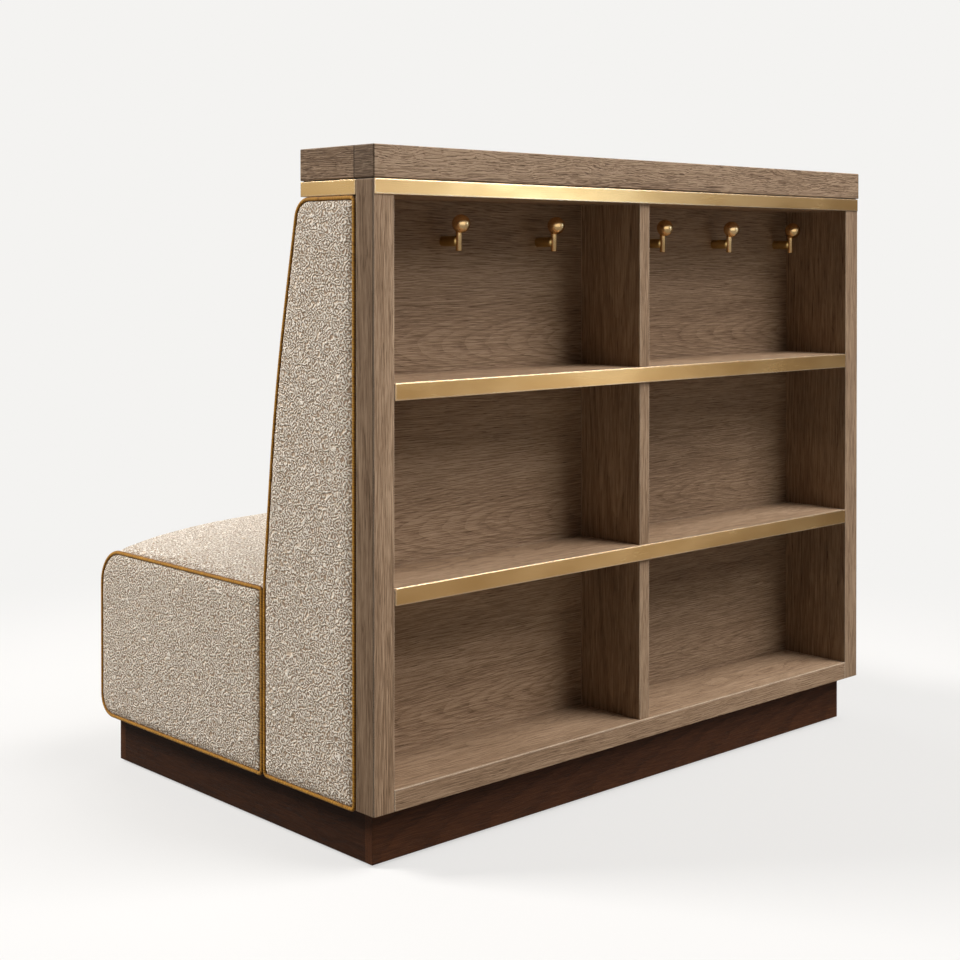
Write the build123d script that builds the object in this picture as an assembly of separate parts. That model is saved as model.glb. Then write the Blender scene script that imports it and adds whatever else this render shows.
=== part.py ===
"""Booth bench: an upholstered back and seat in front of an open shelf unit, on a recessed plinth.

Millimetres, +Z up. +X is the left end as seen from the shelf side, +Y is the shelf side and -Y the seat
front. Depths are measured from the shelf face, towards the seat front. The origin is the middle of the
floor under the whole bench.
"""
from build123d import *
import math
import os

# Overall
bench_length = 1308.0
bench_height = 1150.0
plinth_height = 94.0
fit_gap = 0.3
cut_over = 5.0

# Oak case
stile_width = 42.0
stile_return = 45.0
bay_depth = 152.0
back_panel_thickness = 6.0
bottom_board_thickness = 34.0
shelf_thickness = 28.0
shelf_lower_top = 448.0
shelf_upper_top = 773.0
left_bay_width = 585.5
divider_thickness = 27.0
divider_setback = 4.5
oak_arris = 1.2

# Top board, shadow gap and cap
top_board_thickness = 24.5
top_board_over = 29.5
shadow_gap = 1.5
spacer_inset = 6.0
cap_thickness = 52.5
cap_overhang = 2.0
cap_lipping_depth = 47.0
cap_arris = 2.0

# Brass strips
brass_thickness = 1.5
brass_end_margin = 1.0
brass_arris = 0.4

# Plinth
plinth_end_recess = 23.0
plinth_rear_recess = 33.0
plinth_front_recess = 27.0
plinth_board = 18.0
glide_height = 4.5
glide_radius = 17.0
glide_arris = 1.0
block_side = 40.0
rail_width = 60.0

# Coat hooks
hook_drop = 70.5
hook_reach = 40.0
post_radius = 8.0
post_foot_radius = 9.5
post_foot_thickness = 2.5
post_saddle = 1.0
stud_radius = 2.5
stud_short = 0.5
pin_radius = 4.5
pin_below_post = 17.0
pin_arris = 0.6
ball_radius = 15.0
ball_rise = 30.0
ball_forward = 6.0
bore_clearance = 0.1

# Piping and end pads
piping_radius = 3.9
piping_inset = 0.5
pad_proud = 1.5
pad_back = 7.0
pad_edge = 2.5
pad_corner_ease = 0.5
piping_corner_ease = 0.7

# Back upholstery
back_top_build = 39.0
back_lean = 95.8
back_bend_rise = 7.0
back_bend_reach = 20.0
back_belly_reach = 150.0
back_top_flat = 5.0
back_foam = 26.0
back_sag = 12.0
back_crown = 17.0
back_top_swell = 8.0
back_foot_tuck = 20.0
back_edge_inset = 0.6
back_foot_roll = 8.0
slope_panel_thickness = 6.0
lower_panel_thickness = 12.0
rib_thickness = 18.0
rib_top_margin = 38.0

# Seat upholstery
seat_depth = 538.2
seat_edge_height = 410.0
seat_top_radius = 65.0
seat_foot_flat = 1.0
seat_crown = 48.0
seat_camber = 5.0
seat_front_swell = 9.0
seat_front_belly = 2.0
seat_rear_roll = 18.0
seat_front_padding = 38.0
frame_board = 18.0
seat_foam = 38.0
deck_thickness = 14.0
base_panel_thickness = 15.0

# Fasteners
dowel_radius = 4.0
dowel_length = 30.0
dowel_end_depth = 40.0
dowel_pitch = 72.0
screw_radius = 3.5
screw_head_radius = 6.5
screw_head_height = 4.0
screws_across = 4
screw_height = 240.0
screw_end_margin = 180.0

# Shares of a bay's width, from its left side, where the hooks stand
left_bay_hook_shares = (0.4065, 0.8053)
right_bay_hook_shares = (0.2625, 0.5985, 0.9346)

# Shares of the back's rise from its bend to its top, and of its lean, where its outline changes slope
back_belly_rise_share = 0.504
back_belly_lean_share = 0.342

# Shares of the half length from an end to the middle, and of the rise that a cushion has there
crown_place_shares = (0.0, 0.085, 0.22, 0.5, 1.0)
crown_rise_shares = (0.05, 0.62, 0.86, 0.97, 1.0)

# Places worked out from the sizes above
half_length = bench_length / 2
soffit = bench_height - cap_thickness - shadow_gap - top_board_thickness
top_board_top = soffit + top_board_thickness
cap_bottom = top_board_top + shadow_gap
case_depth = bay_depth + back_panel_thickness
top_depth = case_depth + top_board_over
stud_length = back_panel_thickness - stud_short
bottom_board_top = plinth_height + bottom_board_thickness
inner_left = half_length - stile_width
inner_right = -inner_left
divider_left = inner_left - left_bay_width
divider_right = divider_left - divider_thickness
end_line = half_length - pad_back - fit_gap
upholstery_rear = stile_return + fit_gap + piping_radius
upholstery_top = soffit - fit_gap - piping_radius
pad_corner = pad_edge + pad_corner_ease
piping_corner = piping_radius + piping_corner_ease
back_top_depth = case_depth + back_top_build
back_top_radius = back_top_build - back_top_flat
back_foot_depth = back_top_depth + back_lean
back_bend_height = seat_edge_height + back_bend_rise
back_belly_height = back_bend_height + back_belly_rise_share * (upholstery_top - back_bend_height)
back_belly_depth = back_foot_depth - back_belly_lean_share * back_lean
back_cushion_foot = seat_edge_height - back_foot_tuck
seat_front_depth = back_foot_depth + seat_depth
seat_foot_radius = seat_front_padding - seat_foot_flat
deck_top = seat_edge_height - seat_foam
joint_depth = back_foot_depth + piping_radius + fit_gap
seat_box_rear = joint_depth + fit_gap
seat_piping_rear = seat_box_rear + fit_gap + piping_radius
seat_box_front = seat_front_depth - seat_front_padding
base_top = plinth_height + base_panel_thickness
deck_bottom = deck_top - deck_thickness
top_front = top_depth + brass_thickness
plinth_front = seat_front_depth - plinth_front_recess
plinth_half = half_length - plinth_end_recess
hook_height = soffit - hook_drop
front_reach = seat_front_depth + seat_front_swell + seat_front_belly
rear_reach = cap_overhang
centre_shift = (front_reach - rear_reach) / 2


def block(x_low, x_high, depth_low, depth_high, z_low, z_high):
    """A board from its limits: along the bench, into it from the shelf face, and up."""
    size = Box(x_high - x_low, depth_high - depth_low, z_high - z_low)
    return Pos((x_low + x_high) / 2, -(depth_low + depth_high) / 2, (z_low + z_high) / 2) * size


def section_plane(x):
    """Plane across the bench at x: its first axis is depth and its second is height."""
    return Plane(origin=(x, 0, 0), x_dir=(0, -1, 0), z_dir=(-1, 0, 0))


def slab(face, x_low, x_high):
    """A depth and height outline, run along the bench between two places."""
    return extrude(section_plane(x_high) * face, amount=x_high - x_low)


def polygon(points):
    return make_face(Polyline(*points, close=True))


def drawn_in(corners, radii, inset):
    """Corners of an outline moved inwards by one distance, with the radii that this leaves."""
    count = len(corners)
    moved = []
    for i in range(count):
        here = Vector(*corners[i])
        before = (Vector(*corners[i - 1]) - here).normalized()
        after = (Vector(*corners[(i + 1) % count]) - here).normalized()
        half_angle = math.radians(before.get_angle(after)) / 2
        place = here + (before + after).normalized() * (inset / math.sin(half_angle))
        moved.append((place.X, place.Y))
    return moved, [max(radius - inset, pad_corner) for radius in radii]


def rounded_outline(corners, radii):
    """Closed outline through corners, each rounded by its radius with straight runs between."""
    count = len(corners)
    edges = []
    starts = []
    ends = []
    for i in range(count):
        here = Vector(*corners[i])
        before = (Vector(*corners[i - 1]) - here).normalized()
        after = (Vector(*corners[(i + 1) % count]) - here).normalized()
        half_turn = (math.pi - math.radians(before.get_angle(after))) / 2
        reach = radii[i] * math.tan(half_turn)
        middle = (before + after).normalized() * (radii[i] / math.cos(half_turn) - radii[i])
        starts.append(here + before * reach)
        ends.append(here + after * reach)
        edges.append(ThreePointArc(starts[i], here + middle, ends[i]))
    for i in range(count):
        edges.append(Line(ends[i], starts[(i + 1) % count]))
    return Wire(edges)


def radius_for_reach(corners, reach):
    """Radius that rounds the middle one of three corners over a distance on each side of it."""
    before, here, after = (Vector(*corner) for corner in corners)
    half_turn = (math.pi - math.radians((before - here).get_angle(after - here))) / 2
    return reach / math.tan(half_turn)


def back_corners():
    """Corners and radii of the back's end outline, as depth and height."""
    corners = (
        (upholstery_rear, plinth_height),
        (back_foot_depth, plinth_height),
        (back_foot_depth, back_bend_height),
        (back_belly_depth, back_belly_height),
        (back_top_depth, upholstery_top),
        (upholstery_rear, upholstery_top),
    )
    bend_radius = radius_for_reach(corners[1:4], back_bend_reach)
    belly_radius = radius_for_reach(corners[2:5], back_belly_reach)
    return corners, (piping_corner, piping_corner, bend_radius, belly_radius, back_top_radius, piping_corner)


def seat_corners():
    """Corners and radii of the seat's end outline, as depth and height."""
    corners = (
        (seat_piping_rear, plinth_height),
        (seat_front_depth, plinth_height),
        (seat_front_depth, seat_edge_height),
        (seat_piping_rear, seat_edge_height),
    )
    return corners, (piping_corner, seat_foot_radius, seat_top_radius, piping_corner)


def piping(corners, radii, side):
    """Corded edge round an end panel, one loop of round section."""
    x = side * (half_length - piping_inset)
    path = section_plane(x) * rounded_outline(corners, radii)
    start = path @ 0
    profile = Plane(origin=start, z_dir=path % 0) * Circle(piping_radius)
    return sweep(profile, path=path)


def end_pad(corners, radii, side):
    """Flat padded end panel inside its piping, its outer edge drawn in."""
    face = Face(rounded_outline(*drawn_in(corners, radii, piping_radius + fit_gap)))
    x_outer = half_length + pad_proud
    x_inner = half_length - pad_back
    solid = slab(face, min(side * x_outer, side * x_inner), max(side * x_outer, side * x_inner))
    outer = solid.faces().sort_by(Axis.X)[-1 if side > 0 else 0]
    return chamfer(outer.edges(), pad_edge)


def side_panel(side):
    """Thick front stile with the thinner board behind it that lines the bays and backs the end pad."""
    outer = side * half_length
    inner = side * inner_left
    stile = block(min(outer, inner), max(outer, inner), 0, stile_return, plinth_height, top_board_top)
    stile = fillet(stile.edges().filter_by(Axis.Z).group_by(Axis.Y)[-1], oak_arris)
    line = side * end_line
    board = block(min(line, inner), max(line, inner), stile_return - stile_width / 2, case_depth,
                  plinth_height, soffit)
    panel = stile + board
    for z in dowel_heights():
        for depth in dowel_depths():
            panel -= dowel_bore(inner, depth, z)
    return panel


def dowel_heights():
    middle = shelf_thickness / 2
    return (shelf_lower_top - middle, shelf_upper_top - middle)


def dowel_depths():
    return (dowel_end_depth, dowel_end_depth + dowel_pitch)


def dowel_bore(x, depth, z):
    size = Cylinder(dowel_radius + bore_clearance, dowel_length + fit_gap, rotation=(0, 90, 0))
    return Pos(x, -depth, z) * size


def shelf_dowels():
    """Wooden dowels that carry both shelves in the side panels."""
    pins = []
    for x in (inner_left, inner_right):
        for z in dowel_heights():
            for depth in dowel_depths():
                pins.append(Pos(x, -depth, z) * Cylinder(dowel_radius, dowel_length, rotation=(0, 90, 0)))
    return Compound(children=pins)


def bottom_board():
    board = block(inner_right, inner_left, 0, case_depth, plinth_height, bottom_board_top)
    return fillet(board.edges().filter_by(Axis.X).group_by(Axis.Y)[-1].sort_by(Axis.Z)[-1], oak_arris)


def shelf(top):
    board = block(inner_right, inner_left, 0, bay_depth, top - shelf_thickness, top)
    z = top - shelf_thickness / 2
    for x in (inner_left, inner_right):
        for depth in dowel_depths():
            board -= dowel_bore(x, depth, z)
    return board


def divider(z_low, z_high):
    board = block(divider_right, divider_left, divider_setback, bay_depth, z_low, z_high)
    return fillet(board.edges().filter_by(Axis.Z).group_by(Axis.Y)[-1], oak_arris)


def case_back_panel():
    """Oak-faced back of the bays, bored for the studs of the coat hooks."""
    panel = block(inner_right, inner_left, bay_depth, case_depth, bottom_board_top, soffit)
    for x in hook_places():
        bore = Cylinder(stud_radius + bore_clearance, stud_length + cut_over, rotation=(90, 0, 0))
        panel -= Pos(x, -(bay_depth + (stud_length - cut_over) / 2), hook_height) * bore
    return panel


def top_board():
    """Board over the top bays, notched at its rear corners round the stiles."""
    board = block(-half_length, half_length, 0, top_depth, soffit, top_board_top)
    for side in (-1, 1):
        inner = side * (inner_left - fit_gap)
        outer = side * (half_length + cut_over)
        notch = block(min(inner, outer), max(inner, outer), -cut_over, stile_return + fit_gap,
                      soffit - cut_over, top_board_top + cut_over)
        board -= notch
    return board


def cap_spacer():
    """Thin packing that holds the cap off the top board and leaves the dark line under it."""
    reach = half_length - spacer_inset
    return block(-reach, reach, spacer_inset, top_depth - spacer_inset, top_board_top, cap_bottom)


def cap_piece(depth_low, depth_high, rear):
    """One length of the cap: the rear lipping or the wide front board, eased where it shows."""
    reach = half_length + cap_overhang
    board = block(-reach, reach, depth_low, depth_high, cap_bottom, bench_height)
    long_edges = board.edges().filter_by(Axis.X).group_by(Axis.Y)[-1 if rear else 0]
    corners = board.edges().filter_by(Axis.Z).group_by(Axis.Y)[-1 if rear else 0]
    return fillet(long_edges + corners + board.edges().filter_by(Axis.Y), cap_arris)


def strip(x_low, x_high, depth_low, depth_high, z_low, z_high):
    """Flat brass bar with its edges broken."""
    bar = block(x_low, x_high, depth_low, depth_high, z_low, z_high)
    return chamfer(bar.edges(), brass_arris)


def shelf_strip(top):
    reach = inner_left - brass_end_margin
    return strip(-reach, reach, -brass_thickness, 0, top - shelf_thickness, top)


def top_strip_rear():
    reach = half_length - brass_end_margin
    return strip(-reach, reach, -brass_thickness, 0, soffit, top_board_top)


def top_strip_front():
    reach = half_length - brass_end_margin
    return strip(-reach, reach, top_depth, top_front, soffit, top_board_top)


def top_strip_end(side):
    x_in = side * half_length
    x_out = side * (half_length + brass_thickness)
    return strip(min(x_in, x_out), max(x_in, x_out), stile_return + fit_gap, top_front, soffit, top_board_top)


def hook_places():
    """Places of the hooks along the bench, from the left bay to the right one."""
    left = [inner_left - share * left_bay_width for share in left_bay_hook_shares]
    right = [divider_right - share * (divider_right - inner_right) for share in right_bay_hook_shares]
    return left + right


def hook_post(x):
    """Post with a round foot on the back panel, a stud in it and a saddle for the pin."""
    post_length = hook_reach - pin_radius + post_saddle
    profile = polygon((
        (0, -stud_length),
        (stud_radius, -stud_length),
        (stud_radius, 0),
        (post_foot_radius, 0),
        (post_foot_radius, post_foot_thickness),
        (post_radius, post_foot_thickness),
        (post_radius, post_length),
        (0, post_length),
    ))
    turned = revolve(Plane.XZ * profile, axis=Axis.Z)
    lying = Pos(x, -bay_depth, hook_height) * Rotation(-90, 0, 0) * turned
    pin_hole = Cylinder(pin_radius, ball_rise * 2)
    return lying - Pos(x, hook_reach - bay_depth, hook_height) * pin_hole


def hook_pin(x):
    """Upright pin with its flat lower end and the ball on top, a little forward of the pin."""
    z_low = hook_height - pin_below_post
    length = pin_below_post + ball_rise
    rod = chamfer(Cylinder(pin_radius, length).edges().group_by(Axis.Z)[0], pin_arris)
    rod = Pos(x, hook_reach - bay_depth, z_low + length / 2) * rod
    ball = Pos(x, hook_reach + ball_forward - bay_depth, hook_height + ball_rise) * Sphere(ball_radius)
    return rod + ball


def plinth_long_board(depth_low, depth_high):
    return block(-plinth_half, plinth_half, depth_low, depth_high, glide_height, plinth_height)


def plinth_end_board(side):
    outer = side * plinth_half
    inner = side * (plinth_half - plinth_board)
    return block(min(outer, inner), max(outer, inner), plinth_rear_recess + plinth_board,
                 plinth_front - plinth_board, glide_height, plinth_height)


def plinth_cross_rail():
    """Flat rail under the joint between the case's bottom board and the base panel."""
    reach = plinth_half - plinth_board
    return block(-reach, reach, case_depth - rail_width / 2, case_depth + rail_width / 2,
                 plinth_height - plinth_board, plinth_height)


def plinth_corners(inset):
    """Places of the plinth's four corners, moved in by one distance both ways."""
    places = []
    for side in (-1, 1):
        for depth in (plinth_rear_recess + inset, plinth_front - inset):
            places.append((side * (plinth_half - inset), -depth))
    return places


def plinth_corner_blocks():
    inset = plinth_board + block_side / 2
    height = plinth_height - glide_height
    pieces = [Pos(x, y, glide_height + height / 2) * Box(block_side, block_side, height)
              for x, y in plinth_corners(inset)]
    return Compound(children=pieces)


def plinth_glides():
    disc = chamfer(Cylinder(glide_radius, glide_height).edges().group_by(Axis.Z)[0], glide_arris)
    pieces = [Pos(x, y, glide_height / 2) * disc for x, y in plinth_corners(glide_radius)]
    return Compound(children=pieces)


def base_panel():
    return block(-end_line, end_line, case_depth, seat_box_front, plinth_height, base_top)


def slope_front(height):
    """Depth of the sloping panel's front face at one height: foam's room at its foot, the case behind its top."""
    foot = back_foot_depth - back_foam
    top = case_depth + fit_gap + slope_panel_thickness
    share = (height - back_cushion_foot) / (upholstery_top - back_cushion_foot)
    return foot - share * (foot - top)


def slope_back(height):
    return slope_front(height) - slope_panel_thickness


def back_slope_panel():
    """Thin sloping panel that the back cushion lies on."""
    low = back_cushion_foot
    high = upholstery_top
    outline = polygon((
        (slope_back(low), low),
        (slope_front(low), low),
        (slope_front(high), high),
        (slope_back(high), high),
    ))
    return slab(outline, -end_line, end_line)


def back_rib(x_low, x_high):
    """Shaped rib between the case back and the sloping panel."""
    high = upholstery_top - rib_top_margin
    outline = polygon((
        (case_depth, base_top),
        (joint_depth - lower_panel_thickness, base_top),
        (joint_depth - lower_panel_thickness, back_cushion_foot - fit_gap),
        (slope_back(back_cushion_foot), back_cushion_foot - fit_gap),
        (slope_back(back_cushion_foot), back_cushion_foot),
        (slope_back(high), high),
        (case_depth, high),
    ))
    return slab(outline, x_low, x_high)


def screw_places():
    reach = half_length - screw_end_margin
    step = 2 * reach / (screws_across - 1)
    return [(-reach + i * step, screw_height) for i in range(screws_across)]


def screw_bore(x, z):
    depth = joint_depth - lower_panel_thickness
    length = frame_board + lower_panel_thickness + fit_gap + cut_over * 2
    middle = depth - cut_over + length / 2
    return Pos(x, -middle, z) * Cylinder(screw_radius + bore_clearance, length, rotation=(90, 0, 0))


def back_lower_panel():
    """Panel that closes the back frame behind the seat and takes the joining screws."""
    panel = block(-end_line, end_line, joint_depth - lower_panel_thickness, joint_depth,
                  base_top, back_cushion_foot - fit_gap)
    for x, z in screw_places():
        panel -= screw_bore(x, z)
    return panel


def seat_rear_board():
    reach = end_line - frame_board
    board = block(-reach, reach, seat_box_rear, seat_box_rear + frame_board, base_top, deck_bottom)
    for x, z in screw_places():
        board -= screw_bore(x, z)
    return board


def seat_front_board():
    reach = end_line - frame_board
    return block(-reach, reach, seat_box_front - frame_board, seat_box_front, base_top, deck_bottom)


def seat_end_board(side):
    outer = side * end_line
    inner = side * (end_line - frame_board)
    return block(min(outer, inner), max(outer, inner), seat_box_rear, seat_box_front, base_top, deck_bottom)


def seat_middle_brace():
    half = frame_board / 2
    return block(-half, half, seat_box_rear + frame_board, seat_box_front - frame_board, base_top, deck_bottom)


def seat_deck():
    return block(-end_line, end_line, seat_box_rear, seat_box_front, deck_bottom, deck_top)


def joining_screws():
    """Screws that hold the seat box to the back frame, driven from inside the seat box."""
    pieces = []
    length = frame_board + lower_panel_thickness + fit_gap
    front = seat_box_rear + frame_board
    for x, z in screw_places():
        shank = Pos(x, -(front - length / 2), z) * Cylinder(screw_radius, length, rotation=(90, 0, 0))
        head = Cylinder(screw_head_radius, screw_head_height, rotation=(90, 0, 0))
        pieces.append(shank + Pos(x, -(front + screw_head_height / 2), z) * head)
    return Compound(children=pieces)


def crown_stations():
    """Places along the bench with the share of the crown there, from the right end to the left."""
    half = [((1 - place) * end_line, rise) for place, rise in zip(crown_place_shares, crown_rise_shares)]
    mirrored = [(-x, rise) for x, rise in half[:-1]]
    return mirrored + list(reversed(half))


def seat_section(x, share):
    """Seat cushion across the bench: padded front, rolled top corner, cambered top, and the box inside."""
    top = seat_edge_height + seat_crown * share - seat_camber
    front = seat_front_depth + seat_front_swell * share
    rear = seat_box_rear
    inner = seat_box_front + fit_gap
    shelf_level = deck_top + fit_gap
    foot_radius = front - seat_front_depth + seat_foot_radius
    points_top = ((rear + seat_rear_roll, top), (front - seat_top_radius, top))
    middle_top = ((points_top[0][0] + points_top[1][0]) / 2, top + seat_camber * 2)
    face_high = (front, top - seat_top_radius)
    face_low = (front, plinth_height + foot_radius)
    middle_front = (front + seat_front_belly, (face_high[1] + face_low[1]) / 2)
    edges = [
        Line((rear, shelf_level), (rear, top - seat_rear_roll)),
        CenterArc((rear + seat_rear_roll, top - seat_rear_roll), seat_rear_roll, 180, -90),
        ThreePointArc(points_top[0], middle_top, points_top[1]),
        CenterArc((front - seat_top_radius, top - seat_top_radius), seat_top_radius, 90, -90),
        ThreePointArc(face_high, middle_front, face_low),
        CenterArc((front - foot_radius, plinth_height + foot_radius), foot_radius, 0, -90),
        Line((front - foot_radius, plinth_height), (inner, plinth_height)),
        Line((inner, plinth_height), (inner, shelf_level)),
        Line((inner, shelf_level), (rear, shelf_level)),
    ]
    return section_plane(x) * Face(Wire(edges))


def seat_cushion():
    """Seat cushion over the deck and down the front, crowned along the bench and across it."""
    return loft([seat_section(x, share) for x, share in crown_stations()])


def back_section(x, share):
    """Back cushion across the bench: sloping front with its belly, rolled top corner, flat rear."""
    foot = back_cushion_foot
    top = upholstery_top - back_edge_inset
    low = (back_foot_depth - back_edge_inset, foot + back_foot_roll)
    high = (back_top_depth + back_top_swell, top - back_top_radius)
    belly = back_sag + back_crown * share
    middle = ((low[0] + high[0]) / 2 + belly, (low[1] + high[1]) / 2)
    roll_end = (high[0] - back_top_radius + back_edge_inset, top)
    roll_middle = (high[0] - back_top_radius * (1 - math.sqrt(0.5)), top - back_top_radius * (1 - math.sqrt(0.5)))
    edges = [
        Line((slope_front(foot) + fit_gap, foot), (low[0] - back_foot_roll, foot)),
        CenterArc((low[0] - back_foot_roll, low[1]), back_foot_roll, -90, 90),
        ThreePointArc(low, middle, high),
        ThreePointArc(high, roll_middle, roll_end),
        Line(roll_end, (slope_front(top) + fit_gap, top)),
        Line((slope_front(top) + fit_gap, top), (slope_front(foot) + fit_gap, foot)),
    ]
    return section_plane(x) * Face(Wire(edges))


def back_cushion():
    """Back cushion on the sloping panel, its face swelling towards the middle of the bench."""
    return loft([back_section(x, share) for x, share in crown_stations()])


def build():
    """Every node by name, in the frame of the shelf face."""
    half_rib = rib_thickness / 2
    nodes = {
        "plinth_rear_board": plinth_long_board(plinth_rear_recess, plinth_rear_recess + plinth_board),
        "plinth_front_board": plinth_long_board(plinth_front - plinth_board, plinth_front),
        "plinth_cross_rail": plinth_cross_rail(),
        "plinth_corner_blocks": plinth_corner_blocks(),
        "plinth_glides": plinth_glides(),
        "base_panel": base_panel(),
        "bottom_board": bottom_board(),
        "shelf_lower": shelf(shelf_lower_top),
        "shelf_upper": shelf(shelf_upper_top),
        "shelf_dowels": shelf_dowels(),
        "divider_lower": divider(bottom_board_top, shelf_lower_top - shelf_thickness),
        "divider_middle": divider(shelf_lower_top, shelf_upper_top - shelf_thickness),
        "divider_upper": divider(shelf_upper_top, soffit),
        "case_back_panel": case_back_panel(),
        "top_board": top_board(),
        "cap_spacer": cap_spacer(),
        "cap_lipping": cap_piece(-cap_overhang, cap_lipping_depth, True),
        "cap_board": cap_piece(cap_lipping_depth, top_depth + cap_overhang, False),
        "brass_shelf_lower": shelf_strip(shelf_lower_top),
        "brass_shelf_upper": shelf_strip(shelf_upper_top),
        "brass_top_rear": top_strip_rear(),
        "brass_top_front": top_strip_front(),
        "back_slope_panel": back_slope_panel(),
        "back_lower_panel": back_lower_panel(),
        "back_rib_left": back_rib(end_line - rib_thickness, end_line),
        "back_rib_middle": back_rib(-half_rib, half_rib),
        "back_rib_right": back_rib(-end_line, rib_thickness - end_line),
        "back_cushion": back_cushion(),
        "seat_front_board": seat_front_board(),
        "seat_rear_board": seat_rear_board(),
        "seat_middle_brace": seat_middle_brace(),
        "seat_deck": seat_deck(),
        "seat_cushion": seat_cushion(),
        "joining_screws": joining_screws(),
    }
    for name, side in (("left", 1), ("right", -1)):
        nodes["side_panel_" + name] = side_panel(side)
        nodes["plinth_end_" + name] = plinth_end_board(side)
        nodes["brass_top_" + name] = top_strip_end(side)
        nodes["seat_end_board_" + name] = seat_end_board(side)
        nodes["back_end_pad_" + name] = end_pad(*back_corners(), side)
        nodes["seat_end_pad_" + name] = end_pad(*seat_corners(), side)
        nodes["back_piping_" + name] = piping(*back_corners(), side)
        nodes["seat_piping_" + name] = piping(*seat_corners(), side)
    for number, x in enumerate(hook_places(), start=1):
        nodes["hook_post_" + str(number)] = hook_post(x)
        nodes["hook_pin_" + str(number)] = hook_pin(x)
    return nodes


def main():
    os.makedirs("parts", exist_ok=True)
    for name, solid in build().items():
        export_step(Pos(0, centre_shift, 0) * solid, os.path.join("parts", name + ".step"))


main()
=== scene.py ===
"""Booth bench in a plain studio: oak, brass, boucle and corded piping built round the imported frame.

Metres. +X is the end that stands nearest in the photograph, +Y is the shelf side, -Y the seat front.
"""
import math
import bpy
import numpy as np
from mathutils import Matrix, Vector, kdtree, noise


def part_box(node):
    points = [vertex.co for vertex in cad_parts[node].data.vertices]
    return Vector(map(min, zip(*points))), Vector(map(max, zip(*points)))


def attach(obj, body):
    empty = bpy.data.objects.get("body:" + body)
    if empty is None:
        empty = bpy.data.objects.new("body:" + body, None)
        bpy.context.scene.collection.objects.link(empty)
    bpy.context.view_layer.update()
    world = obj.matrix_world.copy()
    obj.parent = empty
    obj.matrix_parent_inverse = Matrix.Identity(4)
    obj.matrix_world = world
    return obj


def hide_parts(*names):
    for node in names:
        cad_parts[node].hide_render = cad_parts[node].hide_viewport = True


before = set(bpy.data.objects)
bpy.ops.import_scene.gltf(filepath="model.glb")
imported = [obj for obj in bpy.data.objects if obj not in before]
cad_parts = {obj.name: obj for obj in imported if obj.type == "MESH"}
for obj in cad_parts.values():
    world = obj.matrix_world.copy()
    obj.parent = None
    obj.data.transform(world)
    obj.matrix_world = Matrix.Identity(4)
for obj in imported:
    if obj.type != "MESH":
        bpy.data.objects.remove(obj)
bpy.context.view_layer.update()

# Photograph
image_side = 960
horizon_pixel = 277.01
focal_pixels = 1639.71
sensor_width = 36.0
camera_place = (2.27234, 2.41066, 0.96488)
camera_turn = math.radians(42.816)
camera_pitch = math.radians(0.526)

# Sizes that the frame gives
stile_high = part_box("side_panel_left")[1]
pad_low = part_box("back_end_pad_left")[0]
piping_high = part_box("seat_piping_left")[1]
end_line = pad_low.x
outer_face = stile_high.x - 0.0008

# Piping
piping_radius = 0.0039
piping_gap = 0.0003
piping_line = piping_high.x - piping_radius
piping_step = 0.001
piping_sides = 12
rib_pitch = 0.0042
rib_depth = 0.00025
rib_wobble = 6.0
# How much darker the cord's flanks are painted: a painted shade.
flank_painted_shade = 0.85

# Padded pieces
pad_voxel = 0.005
pad_shrink = 0.0012
pad_swell = 0.0035
cushion_voxel = 0.008
seat_shrink = 0.008
seat_swell = 0.015
back_shrink = 0.007
back_swell = 0.012
held_band = 0.05
rim_step = 0.002
rim_spread = 0.0018
crown_rise = 0.0065
crown_width = 0.022
curl_height = 0.0005
curl_size = 0.0032

# Cloth simulation
cloth_frames = 20
cloth_quality = 5
cloth_mass = 0.3
cloth_pressure = 4.0
cloth_stretch = 15.0
cloth_shear = 5.0
cloth_bend = 0.5

# Boucle loops
loop_waves = 9
loop_width = 0.0052
loop_height = 0.0045
loop_sway = 0.016
loop_seed = 5

# Cap packing and feet
# The packing reaches out to just behind the brass, so that its black stands for the shadow in the gap.
shadow_packing_reach = 0.0048
packing_corner = 0.004
foot_node_radius = 0.017
foot_profile = ((0.007, 0.0), (0.0095, 0.0008), (0.011, 0.0028))
turned_steps = 32
sharp_angle = math.radians(50.0)

# Coat hooks
ball_node_radius = 0.015
ball_forward = 0.006
ball_radius = 0.0161
ball_rows = 22
rod_radius = 0.0057
rod_sunk = 0.0005
post_radius = 0.0094
post_foot_radius = 0.0099
post_foot_height = 0.0022
post_head = ((0.0, 0.0045), (0.0006, 0.0028), (0.0018, 0.0013), (0.0034, 0.0003), (0.0050, 0.0))
hook_edge = 0.0008


def linear(red, green, blue):
    """Scene colour of a screen colour given from 0 to 255."""
    shares = [value / 255 for value in (red, green, blue)]
    return tuple(share / 12.92 if share <= 0.04 else ((share + 0.055) / 1.055) ** 2.4 for share in shares)


# Wood
oak_tones = (linear(92, 70, 51), linear(139, 114, 90), linear(182, 156, 129))
stain_tones = (linear(42, 23, 10), linear(68, 39, 21), linear(92, 56, 33))
# Painted highlight: pale colour on oak edges that face up or sideways.
oak_edge_highlight = linear(226, 208, 186)
joint_dark = (0.02, 0.012, 0.007)
end_joint_dark = (0.03, 0.018, 0.01)
streak_scale = 680.0
fibre_scale = 1500.0
pore_scale = 760.0
sway_scale = 14.0
shiver_scale = 60.0
cloud_scale = 12.0
leaf_shift = 0.37
streak_share = 0.5
fibre_share = 0.34
cloud_share = 0.22
early_share = 0.12
pore_share = 0.13
tone_low = 0.34
tone_middle = 0.49
tone_high = 0.63
oak_relief = 0.0009
edge_radius = 0.0014
# Radius of the edge mask for the painted edge highlights.
edge_highlight_radius = 0.0045
end_joint_place = 0.4180
cap_joint_place = 0.3730
board_joints = (0.6125, -0.6125)

# Metal
strip_colour = (0.90, 0.55, 0.23)
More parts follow.
